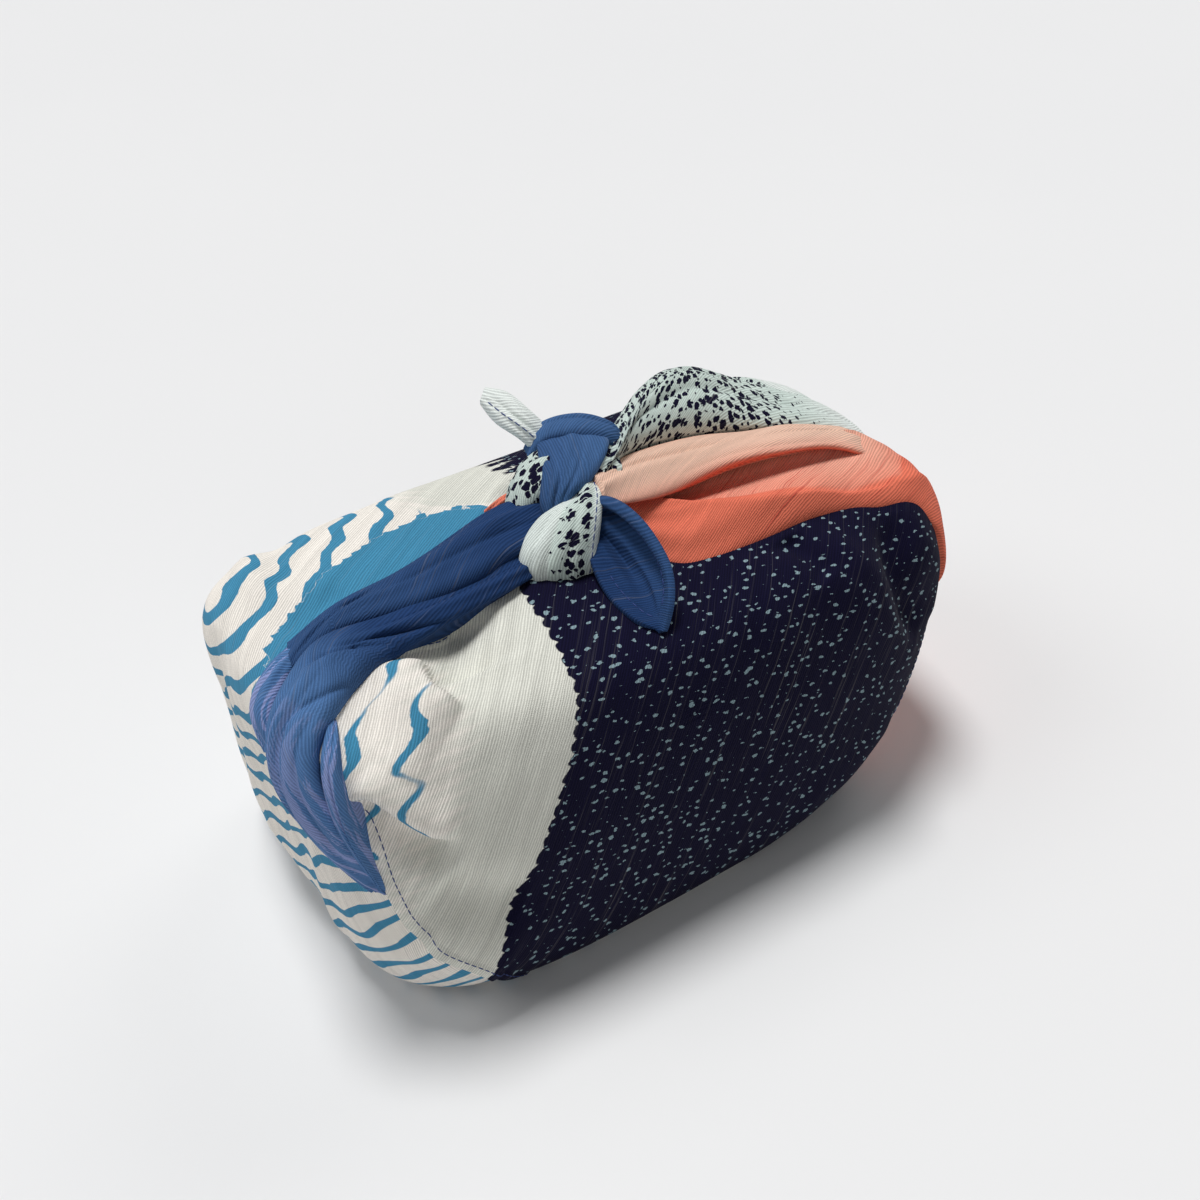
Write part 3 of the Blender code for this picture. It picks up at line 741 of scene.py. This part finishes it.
def build_strand(name, material, seed):
    along, over, under = ((26, 60, 10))
    points, share, arc, out = strand_grid(name, along, over, under)
    count = len(points)
    progress = np.linspace(0, 1, count)[:, None]
    ring_step = np.roll(points, -1, axis=1) - np.roll(points, 1, axis=1)
    normal = unit(np.cross(np.gradient(points, axis=0), ring_step))
    facing = np.sign(np.sum(normal[:, over // 2] * out, axis=1))[:, None, None]
    normal = normal * facing
    random = np.random.default_rng(seed)
    across = share[None, :]
    relief = pleat_relief(name, progress, across)
    for i in range(7):
        wave = random.uniform(9, 26)
        drift = random.uniform(-3, 3)
        swell = 0.6 + 0.4 * np.sin(progress * random.uniform(3, 9) + random.uniform(0, 6.28))
        relief += 0.16 * swell * np.sin(wave * across + drift * progress * 3 + random.uniform(0, 6.28))
    relief *= np.where(arc > 0, np.sqrt(np.maximum(arc, 0)), 0)[None, :]
    points = points + normal * relief[..., None]
    length = path_lengths(points.mean(axis=1, keepdims=True), 0)
    girth = path_lengths(points[:, :over], 1)
    girth = np.concatenate([girth, girth[:, -1:] * share[None, over:]], axis=1)
    along_cloth = np.broadcast_to(length, girth.shape)
    lengthwise, crosswise = RIBS.get(name, PLAIN_RIBS)
    weave = np.stack([lengthwise * along_cloth + crosswise * girth,
                      crosswise * along_cloth - lengthwise * girth, 0 * girth], -1)
    zones = strand_zone(name, *np.broadcast_arrays(progress, across))
    dye = np.stack([zones, along_cloth + DYE_ORIGIN, girth + DYE_ORIGIN], -1)
    flat = points.reshape(-1, 3)
    flat[:, 2] = np.maximum(flat[:, 2], 0)
    faces = tube_faces(count, points.shape[1])
    piece = mesh_piece(name, flat, faces, weave, dye, material)
    outside_out(piece)
    return piece, points, normal


def build_leaf(material):
    """The flat free end: one layer with a turned hem along both sides of its corner."""
    along, across = ((24, 70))
    count = (len(LEAF) - 1) * along + 1
    table = spline(np.linspace(0, len(LEAF) - 1, count), LEAF)
    one, two, sag = table[:, 0:3], table[:, 3:6], table[:, 6]
    out = outward(one, two)
    share = np.linspace(0, 1, across)
    dip = -sag[:, None] * np.sin(share * math.pi)[None, :]
    middle = one[:, None] + (two - one)[:, None] * share[None, :, None] + out[:, None] * dip[..., None]
    width = path_lengths(middle, 1)
    length = path_lengths(middle.mean(axis=1, keepdims=True), 0)
    edge = np.minimum(width, width[:, -1:] - width)
    half = LEAF_THICKNESS / 2 + HEM_RISE * 0.8 * (1 - smooth(HEM_WIDTH - 0.6, HEM_WIDTH + 0.6, edge))
    half = half * np.sqrt(smooth(-0.3, 0.5, edge))
    normal = unit(np.cross(np.gradient(middle, axis=0), np.gradient(middle, axis=1)))
    normal *= np.sign(np.sum(normal[:, across // 2] * out, axis=1))[:, None, None]
    progress = np.linspace(0, 1, count)[:, None]
    middle = middle + normal * pleat_relief("front_leaf", progress, share[None, :])[..., None]
    face = middle + normal * half[..., None]
    back = middle - normal * half[..., None]
    points = np.concatenate([face, back[:, ::-1]], axis=1)
    run = np.broadcast_to(length, width.shape)
    weave = np.stack([0.82 * run - 0.57 * width, 0.57 * run + 0.82 * width, 0 * width], -1)
    zones = 0.12 + 0.10 * share[None, :] + 0 * width
    dye = np.stack([zones, run + DYE_ORIGIN, width + DYE_ORIGIN], -1)
    weave = np.concatenate([weave, weave[:, ::-1]], axis=1)
    dye = np.concatenate([dye, dye[:, ::-1]], axis=1)
    faces = tube_faces(count, points.shape[1])
    piece = mesh_piece("front_leaf", points.reshape(-1, 3), faces, weave, dye, material)
    outside_out(piece)
    return piece, face, normal, width


def at_distance(points, normals, run, distance):
    """Where a line at a given distance along each row crosses it: places and normals."""
    place, up = [], []
    for row, normal, gone in zip(points, normals, run):
        place.append([np.interp(distance, gone, row[:, axis]) for axis in range(3)])
        up.append([np.interp(distance, gone, normal[:, axis]) for axis in range(3)])
    return np.array(place), unit(np.array(up))


def build_stitches(name, seams, material):
    """Short thread stitches along each seam line, bedded in the cloth."""
    bm = bmesh.new()
    for place, up, first in seams:
        gone = path_lengths(place, 0)
        ends = np.arange(first, gone[-1] - STITCH, STITCH + STITCH_GAP)
        for start in ends:
            share = np.linspace(0, 1, 6)
            spine = np.stack([np.interp(start + STITCH * share, gone, place[:, i]) for i in range(3)], -1)
            over = np.stack([np.interp(start + STITCH * share, gone, up[:, i]) for i in range(3)], -1)
            ahead = unit(spine[-1:] - spine[:1])
            side = unit(np.cross(ahead, over))
            swell = np.sqrt(np.maximum(1 - (2 * share - 1) ** 4, 0.02))[:, None]
            rings = []
            for turn in np.arange(6) * math.pi / 3:
                ring = side * math.cos(turn) + over * math.sin(turn)
                rings.append(spine + over * 0.05 + ring * swell * THREAD)
            rings = np.stack(rings, 1) * MM
            verts = [[bm.verts.new(point) for point in ring] for ring in rings.tolist()]
            for low, high in zip(verts, verts[1:]):
                for i in range(6):
                    bm.faces.new((low[i], low[i - 5], high[i - 5], high[i]))
            bm.faces.new(verts[0][::-1])
            bm.faces.new(verts[-1])
    bmesh.ops.recalc_face_normals(bm, faces=bm.faces)
    piece = object_from(name, bm, material)
    piece.data.shade_smooth()
    return piece


# ---- materials
class Nodes:
    """Short calls for building a shader's node tree."""

    def __init__(self, tree):
        self.tree = tree

    def link(self, source, target):
        if hasattr(source, "is_linked"):
            self.tree.links.new(source, target)
        else:
            target.default_value = source

    def add(self, kind, **settings):
        node = self.tree.nodes.new(kind)
        for key, value in settings.items():
            setattr(node, key, value)
        return node

    def math(self, operation, a, b=0.0, c=0.0):
        node = self.add("ShaderNodeMath", operation=operation)
        self.link(a, node.inputs[0])
        self.link(b, node.inputs[1])
        self.link(c, node.inputs[2])
        return node.outputs[0]

    def times(self, a, b):
        return self.math("MULTIPLY", a, b)

    def plus(self, a, b):
        return self.math("ADD", a, b)

    def minus(self, a, b):
        return self.math("SUBTRACT", a, b)

    def scaled(self, value, factor, added):
        return self.math("MULTIPLY_ADD", value, factor, added)

    def wave(self, length, pitch):
        return self.math("SINE", self.times(length, 2 * math.pi / pitch))

    def step(self, value, low, high):
        node = self.add("ShaderNodeMapRange", interpolation_type="SMOOTHSTEP")
        self.link(value, node.inputs["Value"])
        self.link(low, node.inputs["From Min"])
        self.link(high, node.inputs["From Max"])
        return node.outputs[0]

    def between(self, value, low, high, fall, end):
        """One between high and fall, easing in from low and out to end."""
        return self.minus(self.step(value, low, high), self.step(value, fall, end))

    def mix(self, factor, a, b, blend="MIX"):
        node = self.add("ShaderNodeMix", data_type="RGBA", blend_type=blend)
        self.link(factor, node.inputs[0])
        self.link(a, node.inputs[6])
        self.link(b, node.inputs[7])
        return node.outputs[2]

    def vector(self, x, y, z=0.0):
        node = self.add("ShaderNodeCombineXYZ")
        self.link(x, node.inputs[0])
        self.link(y, node.inputs[1])
        self.link(z, node.inputs[2])
        return node.outputs[0]

    def noise(self, vector, scale, detail=2.0, rough=0.5):
        node = self.add("ShaderNodeTexNoise", noise_dimensions="3D")
        self.link(vector, node.inputs["Vector"])
        node.inputs["Scale"].default_value = scale
        node.inputs["Detail"].default_value = detail
        node.inputs["Roughness"].default_value = rough
        return node.outputs["Fac"]

    def patches(self, a, b, stretch, scale=1.0, detail=2.0, rough=0.5, level=0.0):
        """Noise over two lengths, each multiplied by its own stretch."""
        vector = self.vector(self.times(a, stretch[0]), self.times(b, stretch[1]), level)
        return self.noise(vector, scale, detail, rough)

    def cells(self, vector, scale, randomness=1.0):
        """Scattered cells: a random share for each, and the distance to its middle."""
        node = self.add("ShaderNodeTexVoronoi", voronoi_dimensions="2D", feature="F1")
        self.link(vector, node.inputs["Vector"])
        node.inputs["Scale"].default_value = scale
        node.inputs["Randomness"].default_value = randomness
        parts = self.add("ShaderNodeSeparateColor")
        self.link(node.outputs["Color"], parts.inputs[0])
        return parts.outputs[0], node.outputs["Distance"]

    def split(self, name):
        """The three values of a vector kept on the mesh."""
        source = self.add("ShaderNodeAttribute", attribute_name=name)
        parts = self.add("ShaderNodeSeparateXYZ")
        self.link(source.outputs["Vector"], parts.inputs[0])
        return tuple(parts.outputs)

    def bump(self, shader, height, strength, distance):
        node = self.add("ShaderNodeBump")
        node.inputs["Strength"].default_value = strength
        node.inputs["Distance"].default_value = distance
        self.link(height, node.inputs["Height"])
        self.link(node.outputs[0], shader.inputs["Normal"])


def new_material(name):
    """A material, its main shader and the short calls for its tree."""
    material = bpy.data.materials.new(name)
    material.use_nodes = True
    tree = material.node_tree
    return material, tree.nodes["Principled BSDF"], Nodes(tree)


def rgb(red, green, blue):
    """Screen colour, 0 to 255, as a linear colour."""
    linear = []
    for value in (red, green, blue):
        value /= 255.0
        linear.append(value / 12.92 if value <= 0.04045 else ((value + 0.055) / 1.055) ** 2.4)
    return (*linear, 1.0)


# Dye colours of the zones, as screen colours.
BLUE = rgb(34, 60, 104)
PALE_BLUE = rgb(84, 122, 172)
LAVENDER = rgb(144, 156, 204)
TEAL = rgb(72, 144, 180)
CREAM = rgb(246, 240, 231)
SAGE = rgb(226, 226, 216)
NAVY = rgb(19, 17, 44)
FLECK = rgb(136, 160, 168)
CORAL = rgb(238, 124, 98)
BRICK = rgb(190, 66, 58)
# peach also tints the right front strand behind its crest, as a painted highlight
PEACH = rgb(240, 200, 178)
GREEN = rgb(208, 222, 215)
PALE_GREEN = rgb(238, 244, 240)


def cloth_material():
    material, shader, n = new_material("slub_print")
    across, along = n.split("weave")[:2]
    zone, run, girth = n.split("dye")

    # ribs: a thread's waviness, its own tone and its slubs
    waver = n.patches(across, along, (0.25, 0.06))
    place = n.plus(across, n.times(waver, 1.6))
    rib = n.scaled(n.wave(place, RIB_PITCH), 0.5, 0.5)
    thread = n.patches(place, along, (1.0, 0.012), 0.9, 3.0, 0.7)
    slub = n.step(thread, 0.56, 0.74)
    faint = n.patches(place, along, (1.0, 0.05), 0.33, level=7.0)
    pick = n.scaled(n.wave(along, PICK_PITCH), 0.5, 0.5)
    speckle = n.patches(place, along, (1.0, 0.6), 2.4, level=3.0)

    # print: bands of dye with an uneven edge
    wander = n.patches(run, girth, (0.05, 0.05))
    uneven = n.times(n.minus(wander, 0.5), 0.5)
    jog = n.patches(run, girth, (0.3, 0.3))
    shifted = n.plus(run, n.times(jog, 5.0))
    scallop = n.math("ABSOLUTE", n.wave(shifted, SCALLOP_PITCH))
    uneven = n.plus(uneven, n.times(scallop, 0.24))
    level = n.math("DIVIDE", n.plus(zone, uneven), ZONES)
    ramp = n.add("ShaderNodeValToRGB")
    n.link(level, ramp.inputs[0])
    bands = ramp.color_ramp
    while len(bands.elements) > 1:
        bands.elements.remove(bands.elements[-1])
    bands.elements[0].position = 0.0
    bands.elements[0].color = BLUE
    previous = BLUE
    for at, colour in ((1, TEAL), (2, CREAM), (3, SAGE), (4, NAVY), (5, CORAL), (7, GREEN)):
        soft = 0.20 if colour is SAGE else 0.012
        bands.elements.new((at - soft) / ZONES).color = previous
        bands.elements.new((at + soft) / ZONES).color = colour
        previous = colour
    in_blue = n.minus(1.0, n.step(level, 0.98 / ZONES, 1.0 / ZONES))
    colour = n.mix(n.times(in_blue, n.step(zone, 0.1, 0.46)), ramp.outputs[0], PALE_BLUE)
    # peach zone, which also gives the painted highlight behind the right front crest
    colour = n.mix(n.between(zone, 5.55, 6.35, 6.9, 7.0), colour, PEACH)

    # navy zone: scattered pale grains
    rough_run = n.plus(run, n.times(jog, 3.0))
    fray = n.patches(run, girth, (1.0, 1.0), 0.9)
    rough_girth = n.plus(girth, n.times(fray, 2.2))
    size, distance = n.cells(n.vector(rough_run, n.times(rough_girth, 0.8)), 0.30, 0.95)
    grain = n.step(n.minus(n.scaled(size, 0.26, -0.02), distance), -0.015, 0.015)
    in_navy = n.between(level, 4.02 / ZONES, 4.06 / ZONES, 4.94 / ZONES, 4.98 / ZONES)
    colour = n.mix(n.times(grain, in_navy), colour, FLECK)

    # plain end of the green zone, paler
    colour = n.mix(n.step(zone, 7.7, 7.95), colour, PALE_GREEN)

    # green zone: navy dots, dense at its low end and none at its high end
    size, distance = n.cells(n.vector(rough_run, rough_girth), 0.36)
    fill = n.step(n.times(n.minus(7.95, zone), 2.0), 0.0, 1.0)
    reach = n.times(n.scaled(size, 0.42, 0.16), fill)
    dot = n.step(n.minus(reach, distance), 0.0, 0.05)
    colour = n.mix(n.times(dot, n.step(zone, 6.95, 7.0)), colour, NAVY)

    # cream zone: regular wavy stripes in teal
    sway = n.times(n.wave(run, 21.0), 1.3)
    sway = n.plus(sway, n.scaled(wander, 5.0, n.times(jog, 1.2)))
    stripe = n.wave(n.plus(girth, sway), STRIPE_PITCH)
    thin = n.times(n.step(zone, 2.5, 2.6), 0.42)
    width = n.plus(n.scaled(n.wave(run, 34.0), 0.12, 0.46), thin)
    stripe = n.step(n.minus(stripe, width), -0.05, 0.05)
    in_cream = n.minus(n.step(level, 2.0 / ZONES, 2.02 / ZONES), n.step(zone, 2.74, 2.8))
    colour = n.mix(n.times(stripe, in_cream), colour, TEAL)

    # blue zone: soft lavender stripes low in the zone
    brush = n.patches(run, girth, (0.03, 0.26), 1.0, 3.0, 0.6)
    brush = n.step(n.scaled(speckle, 0.14, brush), 0.56, 0.62)
    in_lavender = n.between(zone, 0.40, 0.46, 0.6, 0.7)
    colour = n.mix(n.times(brush, in_lavender), colour, LAVENDER)

    # thread tone over the print
    tone = n.scaled(rib, 0.32, 0.74)
    tone = n.plus(tone, n.times(n.minus(faint, 0.5), 0.34))
    tone = n.plus(tone, n.times(n.minus(speckle, 0.5), 0.30))
    tone = n.plus(tone, n.times(n.times(pick, rib), 0.08))
    colour = n.mix(1.0, colour, n.vector(tone, tone, tone), "MULTIPLY")
    in_coral = n.between(zone, 4.95, 5.05, 5.9, 6.3)
    streak = n.mix(in_coral, n.mix(0.18, colour, rgb(236, 232, 226)), BRICK)
    colour = n.mix(n.times(slub, n.scaled(in_coral, 0.3, 0.5)), colour, streak)
    n.link(colour, shader.inputs["Base Color"])

    n.link(n.scaled(speckle, 0.16, 0.76), shader.inputs["Roughness"])
    shader.inputs["Metallic"].default_value = 0.0
    shader.inputs["Specular IOR Level"].default_value = 0.06
    shader.inputs["Sheen Weight"].default_value = 0.02
    shader.inputs["Sheen Roughness"].default_value = 0.5

    height = n.times(rib, n.scaled(slub, 0.9, 0.8))
    height = n.plus(height, n.times(n.times(pick, rib), 0.25))
    height = n.plus(height, n.times(speckle, 0.3))
    n.bump(shader, height, 0.75, 0.00014)
    return material


def thread_material():
    material, shader, n = new_material("stitch_thread")
    coordinates = n.add("ShaderNodeTexCoord")
    twist = n.noise(coordinates.outputs["Object"], 3000.0, 2.0)
    n.link(n.mix(twist, rgb(28, 44, 96), rgb(52, 78, 146)), shader.inputs["Base Color"])
    n.link(n.scaled(twist, 0.2, 0.55), shader.inputs["Roughness"])
    n.bump(shader, twist, 0.5, 0.0001)
    return material


def floor_material():
    material, shader, n = new_material("pale_floor")
    coordinates = n.add("ShaderNodeTexCoord")
    patch = n.noise(coordinates.outputs["Object"], 3.0, 3.0)
    n.link(n.mix(patch, rgb(231, 231, 232), rgb(235, 235, 235)), shader.inputs["Base Color"])
    shader.inputs["Roughness"].default_value = 0.7
    return material


# ---- the scene
def build_floor():
    bm = bmesh.new()
    corners = [(-6, -6), (6, -6), (6, 6), (-6, 6)]
    bm.faces.new([bm.verts.new((x, y, 0)) for x, y in corners])
    floor = object_from("studio_floor", bm, floor_material())


def point_at(thing, place, target):
    thing.location = place
    thing.rotation_euler = (Vector(target) - Vector(place)).to_track_quat("-Z", "Y").to_euler()


def add_camera():
    data = bpy.data.cameras.new("view_camera")
    data.sensor_width = 36.0
    data.lens = 43.5
    camera = add_object("view_camera", data)
    around, above, distance = math.radians(-33), math.radians(43), 0.52
    target = (0.016, 0.026, 0.052)
    place = (
        target[0] + distance * math.sin(around) * math.cos(above),
        target[1] - distance * math.cos(around) * math.cos(above),
        target[2] + distance * math.sin(above),
    )
    point_at(camera, place, target)
    bpy.context.scene.camera = camera


# Soft lights: name, direction it comes from, strength, angle in degrees.
LIGHTS = [
    ("overhead_softbox", (-0.05, 0.33, 1.2), 2.2, 18),
    ("left_softbox", (-0.8, 0.4, 0.9), 0.5, 28),
    ("right_softbox", (0.8, 0.4, 0.9), 0.32, 28),
    ("front_softbox", (-0.35, -0.9, 0.4), 0.20, 40),
]


def add_lights():
    """Soft lights from above, both sides and the front, and a dim pale room all round."""
    for name, place, strength, angle in LIGHTS:
        data = bpy.data.lights.new(name, "SUN")
        data.energy = strength
        data.angle = math.radians(angle)
        point_at(add_object(name, data), place, (0, 0, 0))
    world = bpy.data.worlds.new("studio")
    world.use_nodes = True
    room = world.node_tree.nodes["Background"].inputs
    room["Color"].default_value = (0.97, 0.985, 1.0, 1)
    room["Strength"].default_value = 0.16
    bpy.context.scene.world = world
    bpy.context.scene.view_settings.view_transform = "Standard"


def finish_piece(piece):
    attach(piece, "root")
    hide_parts(NODE)


def seam_from(points, normals, run):
    """Places and normals of the seam along the first edge of each row."""
    return at_distance(points, normals, run, HEM_WIDTH - SEAM_INSET)


def both_edges(points, normals, run):
    """The same rows counted from their first edge, then from their last."""
    yield points, normals, run
    yield points[:, ::-1], normals[:, ::-1], run[:, -1:] - run[:, ::-1]


def main():
    cloth = cloth_material()
    build_floor()
    add_camera()
    add_lights()
    bundle = build_bundle(cloth)
    finish_piece(bundle)
    flap, *flap_rows = build_flap(cloth)
    finish_piece(flap)
    sheets = []
    seams = []
    for seed, name in enumerate(STRANDS):
        piece, points, normals = build_strand(name, cloth, STRAND_SEED + seed)
        finish_piece(piece)
        sheets.append(piece)
        for seam, share, start, end in STRAND_SEAMS:
            if seam == name:
                column = int(share * points.shape[1])
                rows = slice(int(start * len(points)), int(end * len(points)))
                seams.append((points[rows, column], normals[rows, column], SEAM_START))
    leaf, *leaf_rows = build_leaf(cloth)
    finish_piece(leaf)
    sheets += [leaf, flap]
    for rows in both_edges(*flap_rows):
        place, up = seam_from(*rows)
        seams.append((place[3:], up[3:], SEAM_START))
    inner = len(leaf_rows[0]) // 3
    for rows in both_edges(*leaf_rows):
        wide = rows[2][:, -1] > 2.2 * HEM_WIDTH
        place, up = seam_from(*rows)
        seams.append((place[wide][inner:], up[wide][inner:], SEAM_START))
    stitches = build_stitches("hem_stitches", seams, thread_material())
    finish_piece(stitches)


main()
